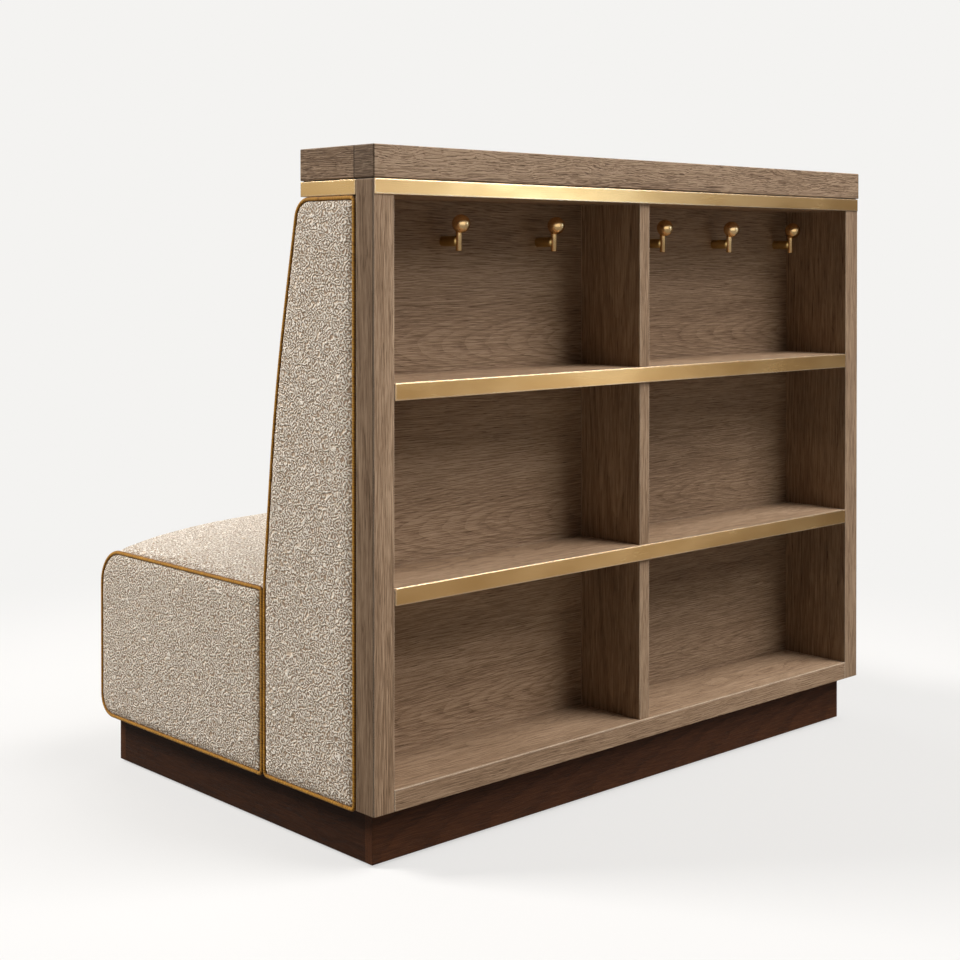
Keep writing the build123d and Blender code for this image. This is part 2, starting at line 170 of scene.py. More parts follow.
# Painted light: the end strips' brass is a lighter copy of the shelf strips' brass, for the reflection it
# shows.
end_strip_lit_colour = (1.0, 0.66, 0.28)
# Painted light and shade: rod and post are one aged brass, the rod painted lighter for its highlights and the
# post darker for its shade.
rod_lit_colour = (0.92, 0.64, 0.33)
post_shaded_colour = (0.62, 0.44, 0.18)
# Painted highlight: pale colour on the brass edges.
brass_edge_highlight = (1.0, 0.9, 0.72)
zinc_colour = (0.55, 0.55, 0.57)

# Plain parts
# Painted shadow: black of the cap packing, a dark sheet in the gap under the cap.
gap_shadow_colour = (0.02, 0.017, 0.015)
foot_colour = (0.02, 0.02, 0.02)

# Studio
backdrop_colour = linear(244, 243, 241)
bounce_colour = (0.24, 0.213, 0.178)
paper_colour = [value * 0.7 for value in backdrop_colour]
dim_colour = (1.0, 0.9, 0.75)
dim_level = 0.02
shine_level = 0.64
sky_level = 1.0
sky_edges = (0.35, 0.75)
floor_shine = 0.38
floor_half = 40.0
shadow_reach = (0.9, 2.2)
shadow_share = 0.35
flag_level = 0.16
flag_edge = 0.93
flag_heading = math.radians(64.0)
flag_direction = (-math.sin(flag_heading), math.cos(flag_heading), 0.0)
bench_middle = (0.0, 0.3, 0.6)
daylight = (1.0, 0.985, 0.985)


class Shader:
    """Nodes of one material, made and linked by short calls."""

    def __init__(self, name):
        self.material = bpy.data.materials.new(name)
        self.material.use_nodes = True
        self.tree = self.material.node_tree
        self.tree.nodes.clear()
        self.output = self.tree.nodes.new("ShaderNodeOutputMaterial")
        place = self.tree.nodes.new("ShaderNodeTexCoord")
        self.place = place.outputs["Object"]
        self.facing = place.outputs["Normal"]

    def node(self, kind, **settings):
        made = self.tree.nodes.new("ShaderNode" + kind)
        for key, value in settings.items():
            setattr(made, key, value)
        return made

    def put(self, socket, value):
        if isinstance(value, bpy.types.NodeSocket):
            self.tree.links.new(value, socket)
        else:
            socket.default_value = value

    def maths(self, operation, *values):
        made = self.node("Math", operation=operation)
        for socket, value in zip(made.inputs, values):
            self.put(socket, value)
        return made.outputs[0]

    def plus(self, first, second):
        return self.maths("ADD", first, second)

    def minus(self, first, second):
        return self.maths("SUBTRACT", first, second)

    def times(self, first, second):
        return self.maths("MULTIPLY", first, second)

    def times_plus(self, first, second, third):
        return self.maths("MULTIPLY_ADD", first, second, third)

    def size(self, value):
        return self.maths("ABSOLUTE", value)

    def most(self, first, second):
        return self.maths("MAXIMUM", first, second)

    def above(self, value, level):
        return self.maths("GREATER_THAN", value, level)

    def vector(self, operation, first, second):
        made = self.node("VectorMath", operation=operation)
        self.put(made.inputs[0], first)
        self.put(made.inputs[1], second)
        return made.outputs[0]

    def drawn_out(self, vector, share):
        """Point for a texture that runs long along the last of its three ways."""
        return self.vector("MULTIPLY", vector, (1.0, 1.0, share))

    def split(self, vector):
        made = self.node("SeparateXYZ")
        self.put(made.inputs[0], vector)
        return made.outputs[:3]

    def join(self, x, y, z):
        made = self.node("CombineXYZ")
        for socket, value in zip(made.inputs, (x, y, z)):
            self.put(socket, value)
        return made.outputs[0]

    def between(self, factor, first, second):
        """first where factor is 0, second where it is 1."""
        made = self.node("Mix", data_type="FLOAT")
        for socket, value in zip(made.inputs[:1] + made.inputs[2:4], (factor, first, second)):
            self.put(socket, value)
        return made.outputs[0]

    def noise(self, vector, scale, detail, roughness, result="Fac"):
        made = self.node("TexNoise")
        self.put(made.inputs["Vector"], vector)
        self.put(made.inputs["Scale"], scale)
        self.put(made.inputs["Detail"], detail)
        self.put(made.inputs["Roughness"], roughness)
        return made.outputs[result]

    def remap(self, value, low, high, to_low=0.0, to_high=1.0, smooth=True):
        made = self.node("MapRange", interpolation_type="SMOOTHSTEP" if smooth else "LINEAR")
        for socket, number in zip(made.inputs, (value, low, high, to_low, to_high)):
            self.put(socket, number)
        return made.outputs[0]

    def ramp(self, factor, stops):
        made = self.node("ValToRGB")
        self.put(made.inputs[0], factor)
        elements = made.color_ramp.elements
        while len(elements) < len(stops):
            elements.new(0.5)
        for element, (place, colour) in zip(elements, stops):
            element.position = place
            element.color = (*colour, 1.0)
        return made.outputs["Color"]

    def mix(self, factor, first, second):
        made = self.node("Mix", data_type="RGBA")
        self.put(made.inputs["Factor"], factor)
        for socket, value in ((made.inputs[6], first), (made.inputs[7], second)):
            self.put(socket, value if isinstance(value, bpy.types.NodeSocket) else (*value, 1.0))
        return made.outputs[2]

    def eased_edges(self, radius):
        made = self.node("Bevel", samples=4)
        made.inputs["Radius"].default_value = radius
        return made.outputs[0]

    def edge_highlight_mask(self, lowest=-1.0):
        """1 on the edges of a board that lies along the axes, 0 on its faces and on edges that face lower:
        where painted edge highlights go.
        """
        facing = self.split(self.eased_edges(edge_highlight_radius))
        x, y, z = [self.size(part) for part in facing]
        level = self.most(self.most(x, y), z)
        share = self.remap(level, 0.84, 0.985, 1.0, 0.0)
        return self.times(share, self.above(facing[2], lowest))

    def bump(self, height, strength, distance, normal=None):
        made = self.node("Bump")
        self.put(made.inputs["Height"], height)
        self.put(made.inputs["Strength"], strength)
        self.put(made.inputs["Distance"], distance)
        if normal is not None:
            self.put(made.inputs["Normal"], normal)
        return made.outputs["Normal"]

    def surface(self, **values):
        made = self.node("BsdfPrincipled")
        for key, value in values.items():
            self.put(made.inputs[key.replace("_", " ")], value)
        self.tree.links.new(made.outputs[0], self.output.inputs["Surface"])
        return self.material


def grain_ways(shader, axis, end_axis=None):
    """Object coordinates with the grain's axis last; faces on the grain's end may have their own axis."""
    x, y, z = shader.split(shader.place)
    orders = {"X": (y, z, x), "Y": (z, x, y), "Z": (x, y, z)}
    if end_axis is None:
        return orders[axis]
    facing = shader.split(shader.facing)["XYZ".index(axis)]
    on_end = shader.above(shader.size(facing), 0.7)
    return [shader.between(on_end, side, end) for side, end in zip(orders[axis], orders[end_axis])]


def oak_swing(shader, point):
    """How the fibres swing in long waves and in short ones, both about 0."""
    sway = shader.noise(shader.drawn_out(point, 0.4), sway_scale, 2.0, 0.5)
    shiver = shader.noise(shader.drawn_out(point, 0.35), shiver_scale, 2.0, 0.5)
    return shader.minus(sway, 0.5), shader.minus(shiver, 0.5)


def oak_rings(shader, ways, swing, pith, slope, ring, wave):
    """1 in the open early wood of each growth ring, 0 in its dense wood."""
    a, b, along = ways
    sway, shiver = swing
    across_a = shader.plus(shader.minus(a, pith[0]), shader.times(along, slope))
    across_b = shader.plus(shader.minus(b, pith[1]), shader.times(sway, 0.05 * wave))
    squares = shader.plus(shader.times(across_a, across_a), shader.times(across_b, across_b))
    radius = shader.plus(shader.maths("SQRT", squares), shader.times(shiver, 0.006 * wave))
    turn = shader.maths("FRACT", shader.maths("DIVIDE", radius, ring))
    start = shader.remap(turn, 0.88, 1.0, 1.0, 0.0)
    return shader.times(shader.remap(turn, 0.0, 0.6, 1.0, 0.0), start)


def oak_fibres(shader, ways, swing, early, wave):
    """Streaks, finer fibres and short pores, which lie mostly in the early wood."""
    a, b, along = ways
    sway, shiver = swing
    shift = shader.times_plus(sway, 0.022 * wave, shader.times(shiver, 0.006 * wave))
    bent = shader.join(shader.plus(a, shift), shader.plus(b, shift), along)
    streak = shader.noise(shader.drawn_out(bent, 0.018), streak_scale, 3.0, 0.66)
    fibre = shader.noise(shader.drawn_out(bent, 0.014), fibre_scale, 2.0, 0.6)
    field = shader.noise(shader.drawn_out(bent, 0.045), pore_scale, 1.0, 0.5)
    pores = shader.times(shader.remap(field, 0.57, 0.68), shader.times_plus(early, 0.6, 0.4))
    return streak, fibre, pores


def painted_bay_light(shader, colour, bay_light_levels):
    """The colour with painted light and shade across a board: one level at -X, and two at +X, for its foot
    and its head.
    """
    x, y, z = shader.split(shader.place)
    rise = shader.remap(z, 0.25, 0.95, bay_light_levels[1], bay_light_levels[2], smooth=False)
    return shader.vector("MULTIPLY", colour, shader.between(shader.above(x, 0.0), bay_light_levels[0], rise))


def end_face_painted_shade(shader, colour, painted_end_shade, outer_line):
    """The colour with painted shade on the faces at the bench's ends, and with their joint line."""
    x, y, z = shader.split(shader.place)
    on_end = shader.above(shader.size(x), outer_face)
    colour = shader.mix(on_end, colour, shader.vector("MULTIPLY", colour, (painted_end_shade,) * 3))
    gap = shader.size(shader.minus(y, outer_line))
    line = shader.times(shader.remap(gap, 0.0010, 0.0020, 0.75, 0.0), on_end)
    return shader.mix(line, colour, end_joint_dark)


def oak(name, axis, pith, slope, leaf=0.0, seed=0.0, ring=0.0032, figure=0.5, wave=1.0, end_axis=None,
        contrast=1.0, seams=(), tone_and_painted_light=1.0, painted_end_shade=None, outer_line=None, arris=0.0, bay_light_levels=None,
        tones=oak_tones):
    """Brushed oak with growth rings round a pith, long fibres and short dark pores.

    pith is where the log's middle lies across the grain, slope how far it drifts along the grain, leaf the
    width of a veneer leaf, figure how strongly the rings show, and wave how far the fibres swing. seams are
    places along X with a dark joint line, outer_line a place along Y with one on the faces at the bench's
    ends, where those end faces are also painted darker as painted shade. arris is how much paler the edges
    that face up or sideways are painted, a painted highlight.
    """
    shader = Shader(name)
    a, b, along = grain_ways(shader, axis, end_axis)
    if leaf:
        step = shader.maths("FLOOR", shader.maths("DIVIDE", b, leaf))
        b = shader.minus(b, shader.times(step, leaf))
        along = shader.plus(along, shader.times(step, leaf_shift))
    along = shader.plus(along, seed)
    ways = (a, b, along)
    point = shader.join(*ways)
    swing = oak_swing(shader, point)
    early = oak_rings(shader, ways, swing, pith, slope, ring, wave)
    streak, fibre, pores = oak_fibres(shader, ways, swing, early, wave)
    cloud = shader.noise(shader.drawn_out(point, 0.1), cloud_scale, 3.0, 0.55)

    tone = shader.times_plus(streak, streak_share, shader.times(fibre, fibre_share))
    tone = shader.times_plus(cloud, cloud_share, tone)
    tone = shader.minus(tone, shader.times(early, early_share * figure))
    tone = shader.minus(tone, shader.times(pores, pore_share))
    tone = shader.times_plus(tone, contrast, tone_middle * (1.0 - contrast))
    # The tones are scaled per board, for its plain tone and, on the side panels and plinth ends, for painted
    # light and shade.
    dark, middle, light = ([value * tone_and_painted_light for value in colour] for colour in tones)
    colour = shader.ramp(tone, ((tone_low, dark), (tone_middle, middle), (tone_high, light)))
    # Painted light and shade across the back panel.
    if bay_light_levels is not None:
        colour = painted_bay_light(shader, colour, bay_light_levels)
    # Painted shade: the faces at the bench's ends are painted darker.
    if painted_end_shade is not None:
        colour = end_face_painted_shade(shader, colour, painted_end_shade, outer_line)
    for seam in seams:
        gap = shader.size(shader.minus(shader.split(shader.place)[0], seam))
        colour = shader.mix(shader.remap(gap, 0.0006, 0.0014, 1.0, 0.0), colour, joint_dark)
    # Painted highlight: the edges that face up or sideways are painted paler.
    if arris:
        colour = shader.mix(shader.times(shader.edge_highlight_mask(-0.1), arris), colour, oak_edge_highlight)

    raised = shader.times_plus(streak, 0.9, shader.times(fibre, 0.35))
    sunk = shader.times_plus(early, 0.2 * figure, shader.times(pores, 0.7))
    normal = shader.bump(shader.minus(raised, sunk), 0.7, oak_relief, shader.eased_edges(edge_radius))
    gloss = shader.remap(fibre, 0.2, 0.8, 0.62, 0.5)
    return shader.surface(Base_Color=colour, Roughness=gloss, Normal=normal, Specular_IOR_Level=0.12)


def stained(name, axis, seed=0.0, tone_and_painted_light=1.0):
    """The same wood under a dark stain, with wide growth rings."""
    pith = (0.0, 0.10) if axis == "Y" else (0.10, 0.0)
    return oak(name, axis, pith, 0.05, seed=seed, ring=0.006, figure=0.45, wave=0.5, contrast=0.8,
               tone_and_painted_light=tone_and_painted_light, tones=stain_tones)


def plywood(name):
    """Pale carcass board with faint plies."""
    shader = Shader(name)
    grain = shader.noise(shader.vector("MULTIPLY", shader.place, (0.06, 1.0, 1.0)), 260.0, 3.0, 0.6)
    colour = shader.ramp(grain, ((0.3, linear(176, 146, 108)), (0.7, linear(206, 180, 142))))
    return shader.surface(Base_Color=colour, Roughness=0.75, Normal=shader.bump(grain, 0.3, 0.0004))


def brass(name, axis, base, roughness, brush, tarnish=0.0, ease=0.0022, edge_highlight=0.0):
    """Brushed brass: fine lines along the bar, broad handled patches, some tarnish and a painted highlight on
    its edges.
    """
    shader = Shader(name)
    point = shader.join(*grain_ways(shader, axis))
    lines = shader.noise(shader.drawn_out(point, 0.012), 2600.0, 2.0, 0.6)
    cloud = shader.noise(shader.drawn_out(point, 0.35), 26.0, 3.0, 0.6)
    patches = shader.noise(shader.drawn_out(point, 0.45), 15.0, 1.0, 0.5)
    low = [value * (share - tarnish) for value, share in zip(base, (0.80, 0.74, 0.64))]
    worn = shader.times_plus(lines, 0.16, shader.times(shader.remap(patches, 0.3, 0.7), 0.84))
    colour = shader.mix(worn, low, base)
    # Painted highlight: the edges of the brass are painted paler.
    if edge_highlight:
        colour = shader.mix(shader.times(shader.edge_highlight_mask(), edge_highlight), colour, brass_edge_highlight)
    gloss = shader.times_plus(lines, 0.06, shader.times_plus(cloud, 0.10, roughness - 0.08))
    normal = shader.bump(lines, brush, 0.00005, shader.eased_edges(ease))
    return shader.surface(Base_Color=colour, Metallic=1.0, Roughness=gloss, Normal=normal)


def plain(name, colour, roughness, metallic=0.0):
    """Moulded or coated surface with a fine grit in its tone and bump."""
    shader = Shader(name)
    grain = shader.noise(shader.place, 1200.0, 3.0, 0.6)
    tone = shader.mix(grain, [value * 0.8 for value in colour], [value * 1.2 for value in colour])
    normal = shader.bump(grain, 0.2, 0.0001)
    return shader.surface(Base_Color=tone, Metallic=metallic, Roughness=roughness, Normal=normal)


def loop_maze(shader, across, up):
    """A maze of evenly wide loops: a sum of waves whose directions lie between across and up."""
    chance = np.random.default_rng(loop_seed)
    warp = shader.noise(shader.place, 85.0, 1.0, 0.5, "Color")
    bent = shader.vector("MULTIPLY_ADD", warp, (loop_sway, loop_sway, loop_sway))
    shader.put(bent.node.inputs[2], shader.place)
    total = 0.0
    for index in range(loop_waves):
        angle = math.pi * (index + 0.6 * chance.random()) / loop_waves
        heading = [one * math.cos(angle) + two * math.sin(angle) for one, two in zip(across, up)]
        phase = shader.node("VectorMath", operation="DOT_PRODUCT")
        shader.put(phase.inputs[0], bent)
        shader.put(phase.inputs[1], [value * 2.0 * math.pi / loop_width for value in heading])
        start = 6.28 * chance.random()
        wave = shader.maths("SINE", shader.plus(phase.outputs["Value"], start))
        total = shader.plus(wave, total)
    return shader.times(total, math.sqrt(2.0 / loop_waves))


def boucle(name, across, up):
    """Curly loop pile with painted shade in the gaps between its loops and paler loop tops, partly yarn tone
    and partly painted highlight; across and up are the ways that the cloth runs.
    """
    shader = Shader(name)
    curl = shader.remap(loop_maze(shader, across, up), -1.1, 1.0)
    fluff = shader.noise(shader.place, 1300.0, 3.0, 0.65)
    height = shader.times_plus(fluff, 0.3, curl)
    # Painted shade in the gaps between the loops; the paler loop tops are partly the yarn's tone and partly a
    # painted highlight.
    tone_and_painted_light = shader.times_plus(fluff, 0.35, shader.times(curl, 0.65))
    stops = ((0.08, linear(130, 103, 78)), (0.36, linear(222, 201, 175)), (0.80, linear(253, 246, 233)))
    colour = shader.ramp(tone_and_painted_light, stops)
    normal = shader.bump(height, 1.0, loop_height)
    return shader.surface(Base_Color=colour, Roughness=0.95, Normal=normal, Sheen_Weight=0.15,
                          Sheen_Roughness=0.5, Specular_IOR_Level=0.15)


def piping_cloth(name):
    """Ochre cord cover with painted shade in the hollows between its ribs and on its flanks."""
    shader = Shader(name)
    rib = shader.node("Attribute", attribute_name="rib").outputs["Fac"]
    weave = shader.noise(shader.place, 1400.0, 2.0, 0.5)
    cloud = shader.noise(shader.place, 60.0, 2.0, 0.5)
    tone = shader.times_plus(weave, 0.3, shader.times(cloud, 0.2))
    # Painted shade from the rib attribute: darker in the rib hollows and on the flanks.
    tone = shader.times_plus(rib, 0.45, tone)
    stops = ((0.25, linear(60, 32, 2)), (0.52, linear(142, 96, 14)), (0.8, linear(198, 147, 46)))
    colour = shader.ramp(tone, stops)
    normal = shader.bump(weave, 0.5, 0.0003)
    return shader.surface(Base_Color=colour, Roughness=0.75, Normal=normal, Sheen_Weight=0.15,
                          Sheen_Roughness=0.4, Specular_IOR_Level=0.3)


def paint(material, *nodes):
    for node in nodes:
        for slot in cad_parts[node].material_slots:
            slot.material = material


def paint_uprights():
    """Oak of the side panels and dividers, whose grain stands."""
    for index, side in enumerate(("left", "right")):
        # Painted light and shade: the near side panel is painted lighter and the far one darker, and both
        # have painted shade on their end faces.
        paint(oak("oak_stile_" + side, "Z", (0.9 * (1 - 2 * index), 0.42), 0.01, seed=1.3 * index, wave=0.15,
                  figure=0.3, contrast=1.1, tone_and_painted_light=(1.1, 0.98)[index], painted_end_shade=0.58,
                  outer_line=end_joint_place, arris=0.35), "side_panel_" + side)
        # Painted shade: the plinth's end boards take the stain at about half tone.
        paint(stained("plinth_grain_end_shaded_" + side, "Y", 0.7 * index, 0.47), "plinth_end_" + side)
    for index, level in enumerate(("lower", "middle", "upper")):
        paint(oak("oak_divider_" + level, "Z", (0.3, 0.36), 0.012, seed=0.7 * index, wave=0.2, figure=0.35,
                  tone_and_painted_light=1.06, arris=0.45), "divider_" + level)


def paint_boards():
    """Wood of the level boards, the cap, the back panel and the long plinth boards."""
    for index, node in enumerate(("bottom_board", "shelf_lower", "shelf_upper", "top_board")):
        paint(oak("oak_" + node, "X", (0.33, 0.05 * index), 0.03, seed=0.9 * index, wave=0.4, figure=0.4,
                  contrast=0.8, tone_and_painted_light=1.12, seams=board_joints if node == "bottom_board" else (), arris=0.95),
              node)
    for index, node in enumerate(("cap_lipping", "cap_board")):
        # On the cap the darker end faces are partly the lipping's end grain and partly painted shade.
        paint(oak("oak_" + node, "X", (0.40, 1.02), 0.03, seed=2.0 + index, end_axis="Y", contrast=1.6,
                  tone_and_painted_light=0.89, painted_end_shade=(0.5, 0.8)[index], outer_line=cap_joint_place), node)
    # Painted light and shade: the back panel is painted lighter towards the foot of the left bays and darker
    # in the right bays.
    paint(oak("oak_back_panel", "X", (0.22, 0.18), 0.06, leaf=0.32, wave=0.26, figure=0.32, contrast=0.95,
              bay_light_levels=(0.90, 1.18, 0.90)), "case_back_panel")
    paint(stained("plinth_grain_long", "X"), "plinth_rear_board", "plinth_front_board")


def paint_metal():
    """Brass of the edge strips, and the zinc of the screws."""
    strip_brass = brass("brass_strip", "X", strip_colour, 0.25, 0.08, edge_highlight=0.8)
    paint(strip_brass, "brass_shelf_lower", "brass_shelf_upper", "brass_top_rear", "brass_top_front")
    # Painted light: the end strips get a lighter copy of the brass.
    lit_end_brass = brass("brass_end_strip_lit", "Y", end_strip_lit_colour, 0.27, 0.08, edge_highlight=0.8)
    paint(lit_end_brass, "brass_top_left", "brass_top_right")
    paint(plain("screw_zinc", zinc_colour, 0.4, 1.0), "joining_screws")


def paint_carcass():
    """Plywood of the boards that the upholstery hides."""
    paint(plywood("carcass_board"), "plinth_cross_rail", "plinth_corner_blocks", "base_panel", "shelf_dowels",
          "back_rib_left", "back_rib_middle", "back_rib_right", "back_slope_panel", "back_lower_panel",
          "seat_front_board", "seat_rear_board", "seat_end_board_left", "seat_end_board_right",
          "seat_middle_brace", "seat_deck")


def make_camera():
    lens = bpy.data.cameras.new("camera")
    lens.sensor_width = sensor_width
    lens.lens = focal_pixels / image_side * sensor_width
    lens.shift_y = (horizon_pixel - image_side / 2) / image_side
    camera = bpy.data.objects.new("camera", lens)
    bpy.context.scene.collection.objects.link(camera)
    camera.location = camera_place
    level = math.cos(camera_pitch)
    across = -math.sin(camera_turn) * level
    ahead = -math.cos(camera_turn) * level
    direction = Vector((across, ahead, -math.sin(camera_pitch)))
    camera.rotation_euler = direction.to_track_quat("-Z", "Y").to_euler()
    bpy.context.scene.camera = camera


def background(tree, colour, strength):
    made = tree.nodes.new("ShaderNodeBackground")
    made.inputs["Color"].default_value = (*colour, 1.0)
    made.inputs["Strength"].default_value = strength
    return made


def choose_shader(tree, factor, first, second):
    """first where factor is 0, second where it is 1."""
    made = tree.nodes.new("ShaderNodeMixShader")
    for socket, source in zip(made.inputs, (factor, first, second)):
        tree.links.new(source, socket)
    return made.outputs[0]


def map_range(tree, source, *numbers):
    made = tree.nodes.new("ShaderNodeMapRange")
    made.interpolation_type = "SMOOTHSTEP"
    tree.links.new(source, made.inputs[0])
    for socket, number in zip(made.inputs[1:5], numbers):
        socket.default_value = number
    return made.outputs[0]


def make_world():
    """Pale to the camera, almost dark to matt surfaces, and to gloss a wide soft light with a darker flag."""
    world = bpy.data.worlds.new("studio")
    bpy.context.scene.world = world
    world.use_nodes = True
    tree = world.node_tree
    tree.nodes.clear()
    out = tree.nodes.new("ShaderNodeOutputWorld")
    rays = tree.nodes.new("ShaderNodeLightPath")
    heading = tree.nodes.new("ShaderNodeTexCoord").outputs["Generated"]

    toward_flag = tree.nodes.new("ShaderNodeVectorMath")
    toward_flag.operation = "DOT_PRODUCT"
    toward_flag.inputs[1].default_value = flag_direction
    tree.links.new(heading, toward_flag.inputs[0])
    height = tree.nodes.new("ShaderNodeSeparateXYZ")
    tree.links.new(heading, height.inputs[0])
    level = tree.nodes.new("ShaderNodeMath")
    fall = map_range(tree, toward_flag.outputs["Value"], flag_edge, 1.0, shine_level, flag_level)
    rise = map_range(tree, height.outputs[2], *sky_edges, 0.0, sky_level - shine_level)
    tree.links.new(fall, level.inputs[0])
    tree.links.new(rise, level.inputs[1])
    shine = background(tree, backdrop_colour, 1.0)
    tree.links.new(level.outputs[0], shine.inputs["Strength"])

    lit = background(tree, dim_colour, dim_level)
    seen = background(tree, backdrop_colour, 1.0)
    direct = tree.nodes.new("ShaderNodeMath")
    direct.operation = "MAXIMUM"
    tree.links.new(rays.outputs["Is Camera Ray"], direct.inputs[0])
    tree.links.new(rays.outputs["Is Transmission Ray"], direct.inputs[1])
    unseen = choose_shader(tree, rays.outputs["Is Glossy Ray"], lit.outputs[0], shine.outputs[0])
    tree.links.new(choose_shader(tree, direct.outputs[0], unseen, seen.outputs[0]), out.inputs[0])


def floor_paper():
    """Pale paper that takes the bench's shadow near the bench, and is as pale as the world far off."""
    shader = Shader("floor_paper")
    rays = shader.node("LightPath")
    seen = rays.outputs["Is Camera Ray"]
    mirrored = rays.outputs["Is Glossy Ray"]
    x, y, z = shader.split(shader.place)
    away = shader.maths("SQRT", shader.plus(shader.times(x, x), shader.times(y, y)))
    near = shader.remap(away, *shadow_reach, shadow_share, 0.0)
    ahead = shader.times_plus(x, flag_direction[0], shader.times(y, flag_direction[1]))
    toward = shader.maths("DIVIDE", ahead, shader.most(away, 0.01))
    shine = shader.remap(toward, flag_edge, 1.0, floor_shine, flag_level)
    share = shader.times(shader.most(seen, mirrored), shader.minus(1.0, near))
    paper = shader.node("BsdfDiffuse")
    shader.put(paper.inputs["Color"], shader.mix(seen, bounce_colour, paper_colour))
    glow = shader.node("Emission")
    glow.inputs["Color"].default_value = (*backdrop_colour, 1.0)
    shader.put(glow.inputs["Strength"], shader.between(mirrored, 1.0, shine))
    blend = choose_shader(shader.tree, share, paper.outputs[0], glow.outputs[0])
    shader.tree.links.new(blend, shader.output.inputs["Surface"])
    return shader.material


def make_floor():
    corners = [(-floor_half, -floor_half, 0), (floor_half, -floor_half, 0), (floor_half, floor_half, 0),
               (-floor_half, floor_half, 0)]
    mesh = bpy.data.meshes.new("floor")
    mesh.from_pydata(corners, [], [(0, 1, 2, 3)])
    mesh.materials.append(floor_paper())
    floor = bpy.data.objects.new("floor", mesh)
    bpy.context.scene.collection.objects.link(floor)


def softbox(name, place, target, width, height, power, colour=(1.0, 1.0, 1.0), shine_only=False,
            matt_only=False):
    """Area lamp aimed at a target; power is in watts."""
    lamp = bpy.data.lights.new(name, "AREA")
    lamp.shape = "RECTANGLE"
    lamp.size = width
    lamp.size_y = height
    lamp.energy = power
    lamp.color = colour
    holder = bpy.data.objects.new(name, lamp)
    bpy.context.scene.collection.objects.link(holder)
    holder.location = place
    holder.visible_diffuse = not shine_only
    holder.visible_glossy = not matt_only
    holder.visible_camera = not matt_only
    holder.rotation_euler = (Vector(target) - holder.location).to_track_quat("-Z", "Y").to_euler()


def make_lamps():
    """Four lamps light the bench, four more show in gloss alone, and one fills the bays without a shine."""
    softbox("key", (-3.36, 5.09, 6.06), bench_middle, 5.0, 4.6, 520.0, daylight)
    softbox("high", (-1.68, 3.09, 7.91), bench_middle, 3.6, 3.0, 380.0, daylight)
    softbox("over_seat", (-0.8, -2.6, 3.4), (0.0, -0.1, 0.4), 1.8, 1.8, 25.0)
    softbox("end", (4.15, -3.5, 5.4), (0.3, 0.0, 0.6), 2.4, 2.4, 700.0, (1.0, 0.97, 0.955))
    softbox("glint", (-1.80, 2.53, 1.25), (0.25, 0.42, 1.05), 0.5, 0.7, 4.4, (0.5, 0.72, 1.0),
            shine_only=True)
    softbox("shelf_glint", (-2.2, 2.6, 0.3), (0.15, 0.42, 0.6), 0.5, 0.8, 1.5, (0.8, 0.9, 1.0),
            shine_only=True)
    softbox("hook_glint", (1.5, 3.3, 1.15), (0.0, 0.31, 1.03), 4.4, 2.2, 24.0, (1.0, 0.97, 0.93),
            shine_only=True)
    softbox("bay_fill", (-0.9, 2.6, 0.95), (0.0, 0.27, 0.7), 0.5, 0.5, 2.2, (1.0, 0.98, 0.96), matt_only=True)
    softbox("arris", (-1.8, 0.6, 3.1), (0.0, 0.42, 0.7), 2.4, 1.2, 50.0, shine_only=True)


def add_piece(name, mesh, material, slot, *nodes):
    piece = bpy.data.objects.new(name, mesh)
    bpy.context.scene.collection.objects.link(piece)
    mesh.materials.clear()
    mesh.materials.append(material)
    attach(piece, "root")
    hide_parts(*nodes)
    return piece


def evaluated_mesh(piece):
    """The piece's mesh as its modifiers leave it."""
    graph = bpy.context.evaluated_depsgraph_get()
    return bpy.data.meshes.new_from_object(piece.evaluated_get(graph))


def bake(piece):
    """Applies the piece's modifiers to its mesh."""
    mesh = evaluated_mesh(piece)
    piece.modifiers.clear()
    piece.data = mesh


def read_points(mesh, attribute="co"):
    flat = np.empty(len(mesh.vertices) * 3)
    mesh.vertices.foreach_get(attribute, flat)
    return flat.reshape(-1, 3)


def write_points(mesh, points):
    mesh.vertices.foreach_set("co", points.ravel())
    mesh.update()


def remesh(piece, voxel):
    modifier = piece.modifiers.new("remesh", "REMESH")
    modifier.mode = "VOXEL"
    modifier.voxel_size = voxel
    modifier.use_smooth_shade = True
    bake(piece)


def subdivide(piece):
    modifier = piece.modifiers.new("finer", "SUBSURF")
    modifier.levels = 1
    modifier.render_levels = 1
    bake(piece)


def add_cloth(piece):
    cloth = piece.modifiers.new("cloth", "CLOTH")
    settings = cloth.settings
    settings.quality = cloth_quality
    settings.mass = cloth_mass
    settings.tension_stiffness = cloth_stretch
    settings.compression_stiffness = cloth_stretch
    settings.shear_stiffness = cloth_shear
    settings.bending_stiffness = cloth_bend
    settings.use_pressure = True
    settings.uniform_pressure_force = cloth_pressure
    settings.vertex_group_mass = "held"
    settings.effector_weights.gravity = 0.0
    cloth.point_cache.frame_start = 1
    cloth.point_cache.frame_end = cloth_frames


def swell(piece, pinned, most):
    """Swells the piece by cloth simulation; pinned is each point's hold from 0 to 1, most its longest way."""
    start = read_points(piece.data)
    group = piece.vertex_groups.new(name="held")
    for index, hold in enumerate(pinned):
        group.add([index], float(hold), "REPLACE")
    add_cloth(piece)
    scene = bpy.context.scene
    for number in range(1, cloth_frames + 1):
        scene.frame_set(number)
    move = read_points(evaluated_mesh(piece)) - start
    length = np.maximum(np.linalg.norm(move, axis=1, keepdims=True), 1e-9)
    piece.modifiers.clear()
    piece.vertex_groups.clear()
    write_points(piece.data, start + move / length * most * np.tanh(length / most))
    scene.frame_set(1)


